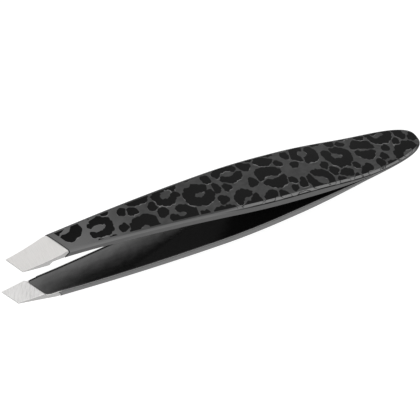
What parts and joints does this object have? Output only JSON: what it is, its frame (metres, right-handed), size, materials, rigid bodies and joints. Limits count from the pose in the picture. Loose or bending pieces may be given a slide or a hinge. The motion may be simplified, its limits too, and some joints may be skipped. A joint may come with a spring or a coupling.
{
  "type": "slant tweezers",
  "caption": "Spring tweezers with two bowed, crowned arms welded at a rounded heel and ground to slanted flat gripping tips; patterned dark coating.",
  "frame": {"origin": "under the middle of the length and width, on the plane that the lower arm's outer face touches with the middle plane between the arms level", "axes": "+X along the length from the tips to the heel, +Y across the width towards the long corner of the slant, +Z from the lower arm to the upper arm"},
  "size_m": [0.095, 0.0114, 0.0144],
  "materials": {
    "tip_steel": "satin, with fine grinding lines",
    "printed_film": "satin grey film with flat black rosettes",
    "inner_enamel": "gloss black enamel"
  },
  "bodies": {
    "heel": {"upper_heel": "tip_steel", "lower_heel": "tip_steel", "weld_nuggets": "tip_steel", "upper_heel_print": "printed_film", "lower_heel_print": "printed_film"},
    "upper_arm": {"upper_blade": "tip_steel", "upper_blade_print": "printed_film", "upper_inner_enamel": "inner_enamel"},
    "lower_arm": {"lower_blade": "tip_steel", "lower_blade_print": "printed_film", "lower_inner_enamel": "inner_enamel"}
  },
  "joints": [
    {"name": "upper_arm_flex", "type": "hinge", "parent": "heel", "child": "upper_arm", "pos_m": [0.0295, 0, 0.00745], "axis": [0, -1, 0], "range_deg": [0, 3.62], "stiffness_Nm_per_rad": 2},
    {"name": "lower_arm_flex", "type": "hinge", "parent": "heel", "child": "lower_arm", "pos_m": [0.0295, 0, 0.00697], "axis": [0, 1, 0], "range_deg": [0, 3.62], "stiffness_Nm_per_rad": 2}
  ],
  "couplings": [
    {"joint": "lower_arm_flex", "follows": "upper_arm_flex", "ratio": 1}
  ]
}
